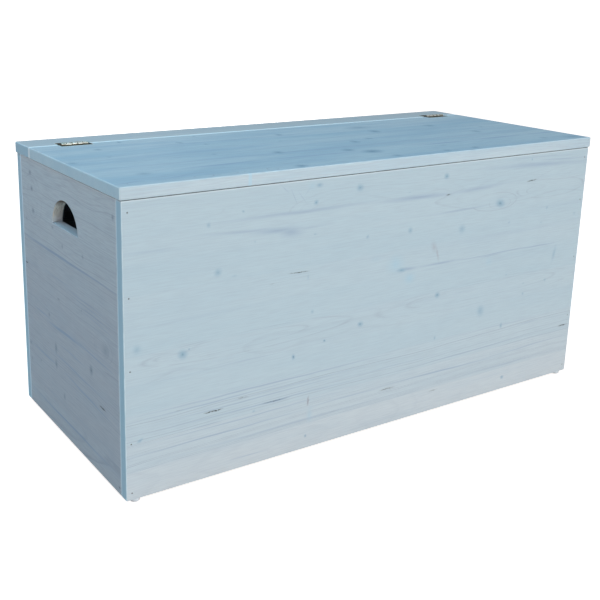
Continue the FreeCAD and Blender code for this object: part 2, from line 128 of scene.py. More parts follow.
def grown_spruce():
    """The wood itself: each stave is a slice of its own tree, so its growth lines are the
    distance from that tree's heart, which wanders as it runs along the stave. Heart says how
    far aside of the stave's middle the heart lies and how deep under its face, both as shares
    of the reach it can have."""
    group, given = new_group("grown_spruce", [
        ("Place", "Vector", (0, 0, 0)), ("Heart", "Vector", (0.5, 0.5, 0)),
        ("Stave Width", "Float", STAVE_WIDTH), ("Seed", "Float", 0.0)],
        ["Latewood", "Streak", "Fibre", "Glue Line"])
    place = given["Place"]
    along, across, through = split(group, place)
    staves = maths(group, "DIVIDE", across, given["Stave Width"])
    stave = maths(group, "FLOOR", staves)
    inside = maths(group, "SUBTRACT", staves, stave)
    token = maths(group, "ADD", stave, given["Seed"])
    width, slant, fall = chance(group, token)

    course = joined(group, along, maths(group, "MULTIPLY", token, 3.3))
    wander = noise(group, course, (2.4, 1, 1), output="Color")
    shift = vector_maths(group, "MULTIPLY_ADD", wander, WANDER_REACH, WANDER_START)
    heart = vector_maths(group, "MULTIPLY_ADD", given["Heart"], HEART_REACH, HEART_START)
    heart = vector_maths(group, "ADD", heart, shift)
    lean = joined(group, maths(group, "SUBTRACT", slant, 0.5),
                  maths(group, "SUBTRACT", fall, 0.5))
    run = joined(group, maths(group, "MULTIPLY", along, LEAN_ASIDE),
                 maths(group, "MULTIPLY", along, LEAN_UNDER))
    heart = vector_maths(group, "MULTIPLY_ADD", lean, run, heart)
    middle = maths(group, "MULTIPLY", given["Stave Width"], maths(group, "ADD", stave, 0.5))
    slice_place = joined(group, maths(group, "SUBTRACT", across, middle), through)
    distance = vector_maths(group, "LENGTH", vector_maths(group, "SUBTRACT", slice_place, heart))
    flutter = noise(group, place, (9, 70, 70))
    distance = maths(group, "MULTIPLY_ADD", flutter, LINE_FLUTTER, distance)
    year = maths(group, "MULTIPLY", YEAR_WIDTH, maths(group, "ADD", width, 0.5))
    years = maths(group, "DIVIDE", distance, year)
    count = maths(group, "FLOOR", years)
    season = maths(group, "SUBTRACT", years, count)
    line = maths(group, "MULTIPLY", ramp(group, season, 0.55, 0.93),
                 ramp(group, season, 0.94, 1.0, 1.0, 0.0))
    line = maths(group, "POWER", line, 2.0)
    strength, _, _ = chance(group, maths(group, "MULTIPLY_ADD", token, 17.0, count))
    latewood = maths(group, "MULTIPLY", line, ramp(group, strength, 0.4, 1.0, 0.12, 1.0))

    shifted = vector_maths(group, "ADD", place, joined(group, token))
    streak = ramp(group, noise(group, shifted, (1.5, 60, 60), 3.0, 0.6), 0.54, 0.78)
    fibre = noise(group, shifted, (24, 520, 520), 2.0, 0.6)
    rim = maths(group, "MINIMUM", inside, maths(group, "SUBTRACT", 1.0, inside))
    end_group(group, {"Latewood": latewood, "Streak": streak, "Fibre": fibre,
                      "Glue Line": ramp(group, rim, 0.004, 0.016, 1.0, 0.0)})
    return group


# How far the pale edges, partly wear and partly painted highlight, and the end grain of a board
# reach, in metres: all there, then gone.
EDGE_REACH = (0.0004, 0.0022)
END_REACH = (0.0003, 0.0014)


def eased_edges():
    """Where a board's edges and ends are: a place is at an edge when it is near two of its
    faces at once."""
    group, given = new_group("eased_edges", [
        ("Place", "Vector", (0, 0, 0)), ("Size", "Vector", (1, 1, 1))], ["Edge", "End"])
    beyond = vector_maths(group, "SUBTRACT", given["Size"], given["Place"])
    along, across, through = split(group, vector_maths(group, "MINIMUM", beyond, given["Place"]))
    nearer = maths(group, "MINIMUM", along, across)
    farther = maths(group, "MAXIMUM", along, across)
    second = maths(group, "MAXIMUM", nearer, maths(group, "MINIMUM", farther, through))
    end_group(group, {"Edge": ramp(group, second, *EDGE_REACH, 1.0, 0.0),
                      "End": ramp(group, along, *END_REACH, 1.0, 0.0)})
    return group


SPRUCE = grown_spruce()
EDGES = eased_edges()


def board_box(node, order):
    """A board's low corner, and its length, width and thickness."""
    low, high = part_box(node)
    return low, [high["XYZ".index(axis)] - low["XYZ".index(axis)] for axis in order]


def placed(tree, low, order):
    """A board's own place: metres along, across and through it from its low corner."""
    plain = add(tree, "TexCoord").outputs["Object"]
    parts = split(tree, vector_maths(tree, "SUBTRACT", plain, tuple(low)))
    return joined(tree, *(parts["XYZ".index(axis)] for axis in order))


def stave_hearts(tree, place, width, rows):
    """What the stave at a place is like, on a stepped ramp with one step for each stave: its heart,
    and its share of the board's stave tint (partly its tone, partly painted light and shade), as a
    colour, and how strong its growth lines are."""
    _, across, _ = split(tree, place)
    stave = maths(tree, "FLOOR", maths(tree, "DIVIDE", across, width))
    share = maths(tree, "MULTIPLY_ADD", stave, 1 / len(rows), 0.5 / len(rows))
    steps = add(tree, "ValToRGB", [(0, share)])
    steps.color_ramp.interpolation = "CONSTANT"
    stops = steps.color_ramp.elements
    for number, row in enumerate(rows):
        stop = stops[number] if number < 2 else stops.new(number / len(rows))
        stop.position = number / len(rows)
        stop.color = row
    return steps.outputs


def marks(tree, place, extent, rows, hollow=0.0):
    """The strongest of several oval marks, each (along share, up share, half length and half
    height in millimetres, turn in degrees, strength): a cone that is its strength high in the
    middle and nothing at its rim, or for hollow ones a ridge along the rim."""
    strongest = 0.0
    for along, up, length, height, turn, strength in rows:
        centred = place
        middle = Vector((along * extent[0], up * extent[1], 0))
        if turn:
            angle = -math.radians(turn)
            centred = add(tree, "VectorRotate", [("Vector", place), ("Angle", angle)],
                          rotation_type="Z_AXIS").outputs[0]
            middle = Matrix.Rotation(angle, 3, "Z") @ middle
        scale = Vector((1000 / length, 1000 / height, 0))
        away = vector_maths(tree, "MULTIPLY_ADD", centred, scale, -scale * middle)
        reach = vector_maths(tree, "LENGTH", away)
        if hollow:
            reach = maths(tree, "ABSOLUTE", maths(tree, "SUBTRACT", reach, 1.0))
            mark = maths(tree, "MULTIPLY_ADD", reach, -strength / hollow, strength)
        else:
            mark = maths(tree, "MULTIPLY_ADD", reach, -strength, strength)
        strongest = maths(tree, "MAXIMUM", strongest, mark)
    return strongest


def inside_box(tree, place, middle, half):
    """1 inside a box given by its middle and its half sizes, and 0 outside it."""
    away = vector_maths(tree, "ABSOLUTE", vector_maths(tree, "SUBTRACT", place, middle))
    along, across, through = split(tree, vector_maths(tree, "SUBTRACT", half, away))
    least = maths(tree, "MINIMUM", maths(tree, "MINIMUM", along, across), through)
    return ramp(tree, least, 0.0, 0.0003)


def shaken(tree, place, stretch, reach):
    """A board's place with its face coordinates moved a little by noise, so that what is
    drawn on it gets a ragged or a wavy outline."""
    wobble = noise(tree, place, stretch, output="Color")
    flat = vector_maths(tree, "MULTIPLY", place, (1, 1, 0))
    start = [-value / 2 for value in reach]
    moved = vector_maths(tree, "MULTIPLY_ADD", wobble, reach, start)
    return vector_maths(tree, "ADD", flat, moved)


def new_finish(name):
    """Start a material: gives it, its node tree and its shader."""
    material = bpy.data.materials.new(name)
    material.use_nodes = True
    return material, material.node_tree, material.node_tree.nodes["Principled BSDF"]


def dress(tree, shader, paint, roughness, height, strength, distance):
    """Link a finish's colour, its roughness and its relief of so many metres to its shader."""
    relief = add(tree, "Bump", [("Height", height), ("Strength", strength),
                                ("Distance", distance)])
    tree.links.new(paint, shader.inputs["Base Color"])
    tree.links.new(roughness, shader.inputs["Roughness"])
    tree.links.new(relief.outputs[0], shader.inputs["Normal"])


def give(node, material):
    """Put a material into the slots of a CAD node."""
    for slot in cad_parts[node].material_slots:
        slot.material = material


# The wall of a hand hole: where the hole lies, how far up the board its sill is and the brown of
# its crown is full, and in metres how deep behind the board's face the cut wood starts, how thin
# its sill is drawn, how far up from there its painted light reaches, from where to where the marks
# of the saw come in, and how far the brown hangs down.
HAND_HOLE_SHARE = (0.5, 0.854, 80, 40, 0, 1.0)
SILL_SHARE = 0.805
CROWN_SHARE = 0.892
CUT_DEPTH = (0.0006, 0.0018)
SILL_RISE = 0.001
PAINTED_LIGHT_RISE = 0.016
SAWN_RISE = (0.004, 0.024)
BROWN_DROP = 0.012
# The wall is bare wood lightened by painted light, and near white with painted light just above the
# sill.
HAND_BARE_WOOD_AND_LIGHT = (252, 246, 234)
HAND_PAINTED_LIGHT = (250, 255, 255)
HAND_BROWN = (142, 124, 110)
HAND_SILL = (198, 214, 224)


def cut_wood(tree, paint, place, extent):
    """The wall of a hand hole laid over the paint: bare wood lightened by painted light, near white
    with painted light just above its sill, streaked by the saw further up, brown at its crown and
    bluish on the sill itself."""
    _, up, through = split(tree, place)
    depth = maths(tree, "MINIMUM", through, maths(tree, "SUBTRACT", extent[2], through))
    cut = maths(tree, "MULTIPLY", marks(tree, place, extent, [HAND_HOLE_SHARE]),
                ramp(tree, depth, *CUT_DEPTH))
    sill = SILL_SHARE * extent[1]
    crown = CROWN_SHARE * extent[1]
    # Painted light just above the sill, fading into bare wood that painted light lightens too.
    wall = tinted(tree, ramp(tree, up, sill, sill + PAINTED_LIGHT_RISE), HAND_PAINTED_LIGHT, HAND_BARE_WOOD_AND_LIGHT)
    sawn = ramp(tree, noise(tree, place, (60, 60, 300), 3.0, 0.7), 0.42, 0.66, 0.0, 0.5)
    start, full = (sill + rise for rise in SAWN_RISE)
    sawn = maths(tree, "MULTIPLY", sawn, ramp(tree, up, start, full))
    wall = tinted(tree, sawn, wall, HAND_BROWN)
    wall = tinted(tree, ramp(tree, up, crown - BROWN_DROP, crown), wall, HAND_BROWN)
    wall = tinted(tree, ramp(tree, up, sill, sill + SILL_RISE), HAND_SILL, wall)
    return tinted(tree, ramp(tree, cut, 0.0, 0.02, 0.0, 0.95), paint, wall)


# The glaze of the front and back boards, as tints and then as how strongly each thing in the
# wood shows through it. The ragged value says how uneven the outlines of its marks are.
FACE_GLAZE = {
    # The stave tint is partly the wood's tone and partly painted light.
    "body": (186, 205, 214), "stave_tone_and_painted_light": (206, 214, 219), "knot": (142, 174, 194),
    "heart": (110, 134, 154), "end": (165, 205, 223),
    "clouds": 0.12, "bands": 0.20, "fibres": 0.18, "end grain": 0.80, "ragged": 1.0,
}
LATEWOOD = (158, 169, 183)
STREAK = (155, 174, 195)
WIPED = (162, 190, 206)
CHECK = (62, 64, 68)
PITCH = (166, 168, 178)
PALE = (170, 202, 218)
# Partly wear, partly a painted highlight on eased edges; also the painted highlight lines and the
# pale line under the lid's gap.
WORN_AND_HIGHLIGHT = (236, 246, 250)
# A painted highlight along the corner joint, on the ends of the front and back boards.
SEAM_HIGHLIGHT = (216, 236, 248)
# A painted shadow line in the gap under the lid.
GAP_SHADOW = (78, 82, 84)
POCKET_LIP = (214, 214, 200)
# Painted shade deep in the hinge pockets.
POCKET_SHADE = (36, 39, 39)
RAGGED_REACH = (0.0034, 0.0026, 0)
WAVY_REACH = (0.0, 0.005, 0)
RING_WIDTH_SHARE = 0.07
GAP_PALE_LINE_SHARE = 0.4
GLUE_LINE_SHARE = 0.1
# What is added in metres to the width of a board of the box, so that its top edge, which the lid or
# the rail covers, isn't painted pale with wear and highlight.
COVERED_EDGE = 0.01
# How far the painted marks on a board reach, in metres: all there, then gone. They are a painted
# shadow line in the gap under the lid with a paler line painted below it, a painted highlight along
# the corner seam, and painted shade deep in the hinge pockets.
GAP_DARK = (0.0004, 0.0010)
GAP_PALE_LINE = (0.0020, 0.0036)
SEAM_HIGHLIGHT_REACH = (0.0012, 0.0052)
POCKET_DEPTH = (0.0006, 0.0002)


def glazed_board(node, order, seed, glaze, staves, first=0.0, width=STAVE_WIDTH, knots=(),
                 streaks=(), checks=(), pitch=(), pale=(), rings=(), hand_hole=False,
                 pockets=(), highlight_lines=(), covered=COVERED_EDGE, gap=0.0, seam=None):
    """Give a board its glazed spruce: growth lines, then marks, the cut wood of its hand hole, end
    grain, pale edges that are partly wear and partly painted highlight, painted highlight lines, a
    painted shadow in its gap, a painted highlight along its corner seam and painted shade in the
    pockets of its hinges. The edge that the lid or the rail covers isn't painted pale: covered puts
    it out of reach. Gap gives the strength of a painted shadow line under the lid, with a paler
    line painted below it. Seam says how far through the board a painted highlight runs along its
    ends, as a share of its thickness."""
    low, extent = board_box(node, order)
    material, tree, shader = new_finish(node + "_glaze")
    place = placed(tree, low, order)
    _, up, through = split(tree, place)
    grain_place = vector_maths(tree, "ADD", place, (0, first, 0))
    heart, lines = stave_hearts(tree, grain_place, width, staves)
    grown = add(tree, "Group", [("Place", grain_place), ("Heart", heart),
                                ("Stave Width", width), ("Seed", seed)],
                node_tree=SPRUCE).outputs
    reached = (extent[0], extent[1] + covered, extent[2])
    edges = add(tree, "Group", [("Place", place), ("Size", reached)], node_tree=EDGES).outputs
    uneven = tuple(glaze["ragged"] * value for value in RAGGED_REACH)
    ragged = shaken(tree, place, (130, 200, 0), uneven)
    wavy = shaken(tree, place, (9, 22, 0), WAVY_REACH)

    # Each stave goes towards the board's stave tint: partly its tone, partly painted light and
    # shade.
    _, _, stave_tone_and_painted_light = split(tree, heart)
    paint = tinted(tree, stave_tone_and_painted_light, glaze["body"], glaze["stave_tone_and_painted_light"])
    cloud = noise(tree, place, (3.0, 26, 26), 3.0, 0.6)
    paint = tinted(tree, ramp(tree, cloud, 0.38, 0.68, 0.0, glaze["clouds"]), paint, WIPED)
    paint = tinted(tree, maths(tree, "MULTIPLY", grown["Latewood"], lines), paint, LATEWOOD)
    paint = tinted(tree, maths(tree, "MULTIPLY", grown["Streak"], glaze["bands"]), paint,
                   STREAK)
    paint = tinted(tree, ramp(tree, grown["Fibre"], 0.35, 0.7, 0.0, glaze["fibres"]), paint,
                   LATEWOOD)
    if rings:
        ring = marks(tree, wavy, extent, rings, hollow=RING_WIDTH_SHARE)
        broken = ramp(tree, noise(tree, place, (20, 60, 60)), 0.35, 0.6)
        ring = maths(tree, "MULTIPLY", ramp(tree, ring, 0.0, 1.0), broken)
        paint = tinted(tree, ring, paint, LATEWOOD)
    for rows, outline, tint in ((streaks, wavy, STREAK), (pale, ragged, PALE),
                                (pitch, ragged, PITCH)):
        if rows:
            mark = marks(tree, outline, extent, rows)
            paint = tinted(tree, ramp(tree, mark, 0.0, 0.8), paint, tint)
    if knots:
        knot = marks(tree, ragged, extent, knots)
        paint = tinted(tree, ramp(tree, knot, 0.0, 0.8, 0.0, 0.75), paint, glaze["knot"])
        paint = tinted(tree, ramp(tree, knot, 0.62, 1.0, 0.0, 0.9), paint, glaze["heart"])
    paint = tinted(tree, maths(tree, "MULTIPLY", grown["Glue Line"], GLUE_LINE_SHARE), paint,
                   STREAK)
    if checks:
        check = ramp(tree, marks(tree, ragged, extent, checks), 0.0, 0.5)
        broken = ramp(tree, noise(tree, place, (260, 60, 60), 1.0), 0.3, 0.55, 0.35, 1.0)
        paint = tinted(tree, maths(tree, "MULTIPLY", check, broken), paint, CHECK)

    if hand_hole:
        paint = cut_wood(tree, paint, place, extent)
    paint = tinted(tree, maths(tree, "MULTIPLY", edges["End"], glaze["end grain"]), paint,
                   glaze["end"])
    # Pale edges, partly wear and partly painted highlight, then painted highlight lines along the
    # seam and the lid's front edge.
    wear_and_highlight = maths(tree, "MULTIPLY", edges["Edge"],
                   ramp(tree, noise(tree, place, (40, 40, 40), 3.0), 0.3, 0.6, 0.3, 0.7))
    if highlight_lines:
        line = ramp(tree, marks(tree, place, extent, highlight_lines), 0.0, 0.8)
        wear_and_highlight = maths(tree, "MAXIMUM", wear_and_highlight, line)
    paint = tinted(tree, wear_and_highlight, paint, WORN_AND_HIGHLIGHT)
    # A painted shadow line in the gap under the lid, and a paler line painted just below it.
    if gap:
        below = maths(tree, "SUBTRACT", extent[1], up)
        line = ramp(tree, below, *GAP_PALE_LINE, GAP_PALE_LINE_SHARE * gap, 0.0)
        paint = tinted(tree, line, paint, WORN_AND_HIGHLIGHT)
        paint = tinted(tree, ramp(tree, below, *GAP_DARK, gap, 0.0), paint, GAP_SHADOW)
    # A painted highlight along the board's ends at the corner joint.
    if seam is not None:
        away = maths(tree, "ABSOLUTE", maths(tree, "SUBTRACT", through, seam * extent[2]))
        seam_highlight = maths(tree, "MULTIPLY", edges["End"], ramp(tree, away, *SEAM_HIGHLIGHT_REACH, 1.0, 0.0))
        paint = tinted(tree, seam_highlight, paint, SEAM_HIGHLIGHT)
    # Painted shade deep in each hinge pocket, over a pale lip on the top around it.
    for middle, half in pockets:
        deep, shallow = (extent[2] - depth for depth in POCKET_DEPTH)
        sunk = ramp(tree, through, deep, shallow, 1.0, 0.0)
        pocket = maths(tree, "MULTIPLY", inside_box(tree, place, middle, half),
                       ramp(tree, sunk, 0.0, 1.0, 0.8, 0.98))
        paint = tinted(tree, pocket, paint, tinted(tree, sunk, POCKET_LIP, POCKET_SHADE))
    dress(tree, shader, paint, ramp(tree, grown["Fibre"], 0.3, 0.7, 0.5, 0.62),
          noise(tree, place, (26, 900, 900), 2.0, 0.6), 0.3, 0.0002)
    shader.inputs["Specular IOR Level"].default_value = 0.35
    give(node, material)


# Each stave of a board, from the bottom or the front: heart aside, heart depth, how far it goes
# towards the board's stave tint (partly its tone, partly painted light and shade), and how strong
# its lines are. The marks drawn on it are rows as marks() reads them.
# The front's lower staves go furthest towards its paler, pinker stave tint: partly the wood's tone,
# partly painted light thrown up from the floor.
FRONT_STAVE_SHARES = (
    (0.50, 0.95, 1.00, 0.08), (0.02, 0.40, 0.70, 1.00), (0.98, 0.35, 0.45, 1.00),
    (0.62, 0.90, 0.25, 0.06), (0.50, 0.42, 0.30, 0.28), (0.38, 0.85, 0.15, 0.06),
    (0.90, 0.50, 0.20, 0.12), (0.15, 0.60, 0.10, 0.12), (0.52, 0.30, 0.15, 0.25),
    (0.45, 0.50, 0.10, 0.22),
)
FRONT_KNOT_SHARES = (
    (0.345, 0.976, 10, 6, 0, 0.75), (0.339, 0.917, 7, 6, 20, 0.85),
    (0.428, 0.949, 11, 9, 0, 0.80), (0.202, 0.919, 4, 3, 0, 0.75), (0.141, 0.889, 6, 6, 0, 0.65),
    (0.224, 0.810, 3, 3, 0, 0.50), (0.339, 0.805, 5, 2, 0, 0.65), (0.158, 0.727, 10, 9, 30, 0.75),
    (0.187, 0.706, 9, 3, 0, 0.40), (0.449, 0.766, 5, 6, 0, 0.65), (0.328, 0.655, 3, 7, 0, 0.45),
    (0.021, 0.519, 12, 11, 0, 0.55), (0.339, 0.525, 5, 5, 0, 0.60), (0.622, 0.951, 9, 8, 0, 0.88),
    (0.839, 0.977, 4, 3, 0, 0.75), (0.537, 0.908, 5, 2, 0, 0.50), (0.763, 0.815, 18, 11, -15, 0.90),
    (0.544, 0.763, 8, 8, 0, 0.72), (0.669, 0.736, 13, 12, 15, 0.62), (0.894, 0.767, 5, 5, 0, 0.65),
    (0.791, 0.730, 5, 3, 0, 0.60), (0.881, 0.707, 4, 3, 0, 0.50), (0.977, 0.722, 6, 6, 0, 0.45),
    (0.529, 0.615, 16, 6, 0, 0.80), (0.796, 0.509, 5, 3, 0, 0.55), (0.619, 0.486, 9, 8, 0, 0.88),
    (0.097, 0.470, 13, 11, -30, 0.85), (0.108, 0.483, 2.5, 2.5, 0, 0.85),
    (0.442, 0.437, 9, 7, 0, 0.90), (0.366, 0.404, 4, 3.5, 0, 1.0), (0.303, 0.370, 5, 7, 0, 1.0),
    (0.024, 0.206, 8, 4, 30, 0.75), (0.227, 0.202, 5, 3, 20, 0.60), (0.333, 0.050, 4, 3.5, 0, 0.85),
    (0.734, 0.378, 14, 17, 15, 0.62), (0.620, 0.309, 4, 6, 0, 0.60), (0.794, 0.291, 5, 8, 0, 0.78),
    (0.848, 0.410, 5, 5, 0, 0.60), (0.909, 0.451, 5, 4, 0, 0.60), (0.847, 0.456, 5, 3, 0, 0.40),
    (0.810, 0.054, 7, 6, 0, 0.78), (0.928, 0.560, 7, 24, -12, 0.55),
)
FRONT_STREAK_SHARES = (
    (0.310, 0.891, 230, 5.4, 0.0, 0.50), (0.560, 0.884, 130, 7.0, -0.9, 0.60),
    (0.700, 0.888, 110, 6.2, 2.0, 0.50), (0.210, 0.850, 140, 4.6, -2.6, 0.46),
    (0.266, 0.838, 76, 7, -2, 0.56), (0.292, 0.827, 36, 13, -5, 0.54),
    (0.330, 0.832, 60, 4.0, 1, 0.35), (0.040, 0.830, 90, 5.0, -2.0, 0.32),
    (0.665, 0.811, 100, 2.8, 1.5, 0.52), (0.870, 0.952, 230, 7.4, -1.8, 0.50),
    (0.930, 0.965, 120, 2.6, -1.5, 0.45), (0.870, 0.982, 170, 2.0, -0.8, 0.40),
    (0.545, 0.615, 34, 5.0, 0, 0.55), (0.620, 0.614, 76, 3.4, 0, 0.62),
    (0.780, 0.610, 220, 1.6, -0.3, 0.62), (0.749, 0.606, 56, 2.4, 0, 0.50),
    (0.878, 0.608, 80, 2.4, 0, 0.60), (0.165, 0.154, 240, 2.0, 0.2, 0.62),
    (0.430, 0.161, 140, 1.8, 0.5, 0.50), (0.640, 0.162, 190, 2.2, -0.9, 0.66),
    (0.870, 0.167, 190, 1.8, 1.0, 0.50), (0.250, 0.222, 320, 2.0, -0.4, 0.55),
    (0.268, 0.220, 40, 2.2, -1, 1.0), (0.730, 0.214, 310, 2.0, 0.3, 0.45),
    (0.250, 0.291, 350, 2.2, -0.1, 0.62), (0.800, 0.293, 240, 1.8, 0, 0.40),
    (0.150, 0.277, 220, 2.0, 0.3, 0.55), (0.230, 0.250, 280, 2.0, 0.0, 0.50),
    (0.300, 0.264, 300, 1.8, 0.2, 0.45), (0.220, 0.187, 280, 2.0, 0.2, 0.52),
    (0.500, 0.238, 260, 1.6, 0.2, 0.35), (0.300, 0.115, 350, 3.4, 0.1, 0.40),
    (0.820, 0.114, 220, 3.0, 0, 0.35), (0.220, 0.040, 60, 1.8, 0, 0.45),
    (0.136, 0.199, 48, 1.8, 0, 0.45), (0.870, 0.277, 50, 1.8, 0, 0.50),
    (0.210, 0.400, 90, 1.4, 0, 0.40), (0.278, 0.975, 16, 1.4, -42, 0.45),
    (0.296, 0.945, 24, 1.4, -62, 0.45), (0.312, 0.940, 22, 1.4, -50, 0.40),
    (0.322, 0.960, 16, 1.2, 50, 0.35),
)
FRONT_CHECK_SHARES = (
    (0.309, 0.678, 27, 1.6, -3.5, 0.50), (0.258, 0.654, 9, 1.1, 0, 0.20),
    (0.629, 0.879, 8, 2.0, 0, 0.42), (0.844, 0.890, 19, 2.2, 3, 0.46),
    (0.152, 0.242, 21, 1.7, 0, 0.85), (0.090, 0.277, 12, 1.0, 0, 0.20),
    (0.206, 0.264, 18, 1.4, -2, 0.30), (0.269, 0.221, 40, 1.2, -1, 0.32),
    (0.392, 0.116, 22, 1.0, 1.5, 0.20), (0.510, 0.148, 24, 1.8, 0, 0.42),
    (0.977, 0.220, 17, 2.0, 0, 0.60), (0.625, 0.085, 17, 1.3, 1, 0.32),
)
FRONT_PITCH_SHARES = (
    (0.603, 0.684, 10, 18, 20, 0.42), (0.612, 0.655, 4, 24, 16, 0.50),
    (0.336, 0.186, 3, 12, -5, 0.95),
)
FRONT_PALE_SHARES = (
    (0.340, 0.130, 10, 22, 0, 0.35), (0.515, 0.642, 30, 26, 0, 0.45),
    (0.549, 0.577, 20, 16, 0, 0.50), (0.745, 0.580, 16, 14, 0, 0.30),
    (0.330, 0.977, 14, 12, 0, 0.35), (0.470, 0.677, 22, 10, 0, 0.25),
)
FRONT_RING_SHARES = (
    (0.107, 0.933, 60, 10, 0, 0.26), (0.762, 0.817, 28, 11, 0, 0.40),
    (0.748, 0.825, 58, 17, 0, 0.50), (0.900, 0.852, 94, 18, 0, 0.45),
    (0.880, 0.849, 48, 9, 0, 0.45), (0.225, 0.468, 195, 17, 0, 0.45),
    (0.190, 0.472, 140, 11, 0, 0.40), (0.740, 0.468, 195, 14, 0, 0.42),
    (0.740, 0.460, 260, 22, 0, 0.35),
)
# The sides are cut nearer the heart, so their lines are closer and stronger. The left side's lower
# staves go furthest towards its dark stave tint: painted shade, darker towards the bottom.
LEFT_STAVE_SHARES = (
    (0.55, 0.80, 0.80, 0.60), (0.30, 0.60, 1.00, 0.80), (0.20, 0.50, 1.00, 0.90),
    (0.65, 0.45, 1.00, 0.95), (0.35, 0.50, 1.00, 0.85), (0.05, 0.30, 0.85, 0.90),
    (0.10, 0.70, 0.70, 0.65), (0.75, 0.40, 0.45, 0.60), (0.60, 0.35, 0.20, 0.55),
    (0.58, 0.60, 0.10, 0.50),
)
LEFT_KNOT_SHARES = (
    (0.886, 0.947, 9, 7, 0, 0.80), (0.873, 0.889, 9, 7, 0, 0.85), (0.866, 0.806, 10, 7, 0, 0.80),
    (0.955, 0.762, 7, 4, 0, 0.55), (0.532, 0.738, 6, 6, 0, 0.70), (0.318, 0.747, 6, 6, 0, 0.70),
    (0.637, 0.787, 8, 5, 0, 0.60), (0.025, 0.936, 7, 7, 0, 0.75), (0.597, 0.528, 9, 3, 0, 0.80),
    (0.346, 0.551, 4, 2.5, 0, 0.65), (0.716, 0.438, 6, 6, 0, 0.80), (0.119, 0.474, 22, 15, 0, 0.50),
    (0.264, 0.360, 9, 13, 0, 0.85), (0.649, 0.326, 8, 14, 0, 0.85), (0.652, 0.262, 8, 13, 0, 0.80),
    (0.973, 0.255, 8, 5, 0, 0.70), (0.567, 0.160, 7, 9, 0, 0.75), (0.846, 0.217, 6, 4, 0, 0.60),
    (0.965, 0.189, 6, 5, 0, 0.60), (0.015, 0.026, 5, 4, 0, 1.0),
)
LEFT_STREAK_SHARES = (
    (0.500, 0.694, 300, 2.4, 0, 1.0), (0.620, 0.692, 200, 3.4, 0, 0.90),
    (0.540, 0.414, 110, 4.0, -1.5, 1.0),
    (0.800, 0.424, 70, 2.4, 0, 0.70), (0.250, 0.420, 120, 2.4, 2, 0.80),
    (0.450, 0.300, 170, 2.2, 0.8, 0.75), (0.790, 0.258, 90, 2.4, 0, 0.85),
    (0.320, 0.247, 140, 2.6, 3.7, 0.80), (0.500, 0.067, 240, 3.2, 0, 0.95),
    (0.460, 0.355, 80, 2.0, 0, 0.70), (0.300, 0.590, 140, 2.0, 0.6, 0.60),
    (0.270, 0.575, 150, 1.8, 1.0, 0.55), (0.240, 0.560, 130, 1.8, 1.6, 0.60),
    (0.200, 0.545, 110, 1.8, 2.0, 0.55), (0.600, 0.605, 120, 2.0, 0, 0.50),
)
LEFT_CHECK_SHARES = ((0.160, 0.257, 16, 2.2, 0, 0.60), (0.980, 0.581, 9, 1.8, 0, 0.60))
LEFT_RING_SHARES = (
    (0.150, 0.474, 24, 14, 0, 0.70), (0.140, 0.474, 34, 20, 0, 0.55),
    (0.870, 0.848, 24, 34, 0, 0.50), (0.870, 0.848, 44, 44, 0, 0.40),
)


def turned_round(rows):
    """The same marks on a board laid the other way round."""
    return [(1 - along, 1 - up, *rest) for along, up, *rest in rows]


# On the sides the stave tint is darker and greyer: painted shade, darker towards the bottom of the
# left side.
SIDE_GLAZE = {
    **FACE_GLAZE, "body": (200, 214, 220), "stave_tone_and_painted_light": (186, 194, 202), "knot": (136, 152, 168),
    "heart": (100, 106, 120), "bands": 0.30, "fibres": 0.34,
}
glazed_board("front_panel", "XZY", 3.0, FACE_GLAZE, FRONT_STAVE_SHARES,
             knots=FRONT_KNOT_SHARES, streaks=FRONT_STREAK_SHARES, checks=FRONT_CHECK_SHARES,
             pitch=FRONT_PITCH_SHARES, pale=FRONT_PALE_SHARES, rings=FRONT_RING_SHARES,
             gap=0.85, seam=1.0)
glazed_board("back_panel", "XZY", 23.0, FACE_GLAZE, FRONT_STAVE_SHARES[::-1],
             knots=turned_round(FRONT_KNOT_SHARES[::2]),
             streaks=turned_round(FRONT_STREAK_SHARES[1::2]), seam=0.0)
glazed_board("left_side_panel", "YZX", 43.0, SIDE_GLAZE, LEFT_STAVE_SHARES,
             knots=LEFT_KNOT_SHARES, streaks=LEFT_STREAK_SHARES, checks=LEFT_CHECK_SHARES,
             rings=LEFT_RING_SHARES, hand_hole=True, gap=0.8)
glazed_board("right_side_panel", "YZX", 63.0, SIDE_GLAZE, LEFT_STAVE_SHARES[::-1],
             knots=turned_round(LEFT_KNOT_SHARES), streaks=turned_round(LEFT_STREAK_SHARES),
             hand_hole=True, gap=0.8)


# Cleats and bottom
# The bottom is beech-faced plywood screwed down on four planed spruce cleats, which are screwed
# to the boards from inside. None of it is glazed.
BARE_SPRUCE = (222, 198, 160)
BARE_LATEWOOD = (188, 148, 104)
PLY_FACE = (214, 190, 156)
PLY_FLECK = (188, 156, 118)
PLY_EDGE = (150, 116, 82)
PLY_LAYERS = 5
PLY_FACE_DEPTH = (0.0004, 0.0010)


def bare_spruce(node, order, seed):
    """Give a cleat its planed, unfinished spruce."""
    low, size = board_box(node, order)
    material, tree, shader = new_finish(node + "_bare")
    place = placed(tree, low, order)
    grown = add(tree, "Group", [("Place", place), ("Heart", (0.42, 0.4, 0)), ("Seed", seed)],
                node_tree=SPRUCE).outputs
    edges = add(tree, "Group", [("Place", place), ("Size", size)], node_tree=EDGES).outputs
    paint = tinted(tree, maths(tree, "MULTIPLY", grown["Latewood"], 0.7), BARE_SPRUCE,
                   BARE_LATEWOOD)
    paint = tinted(tree, ramp(tree, grown["Fibre"], 0.35, 0.7, 0.0, 0.2), paint, BARE_LATEWOOD)
    paint = tinted(tree, maths(tree, "MULTIPLY", edges["End"], 0.5), paint, BARE_LATEWOOD)
    dress(tree, shader, paint, ramp(tree, grown["Fibre"], 0.3, 0.7, 0.62, 0.78),
          grown["Fibre"], 0.4, 0.0003)
    give(node, material)


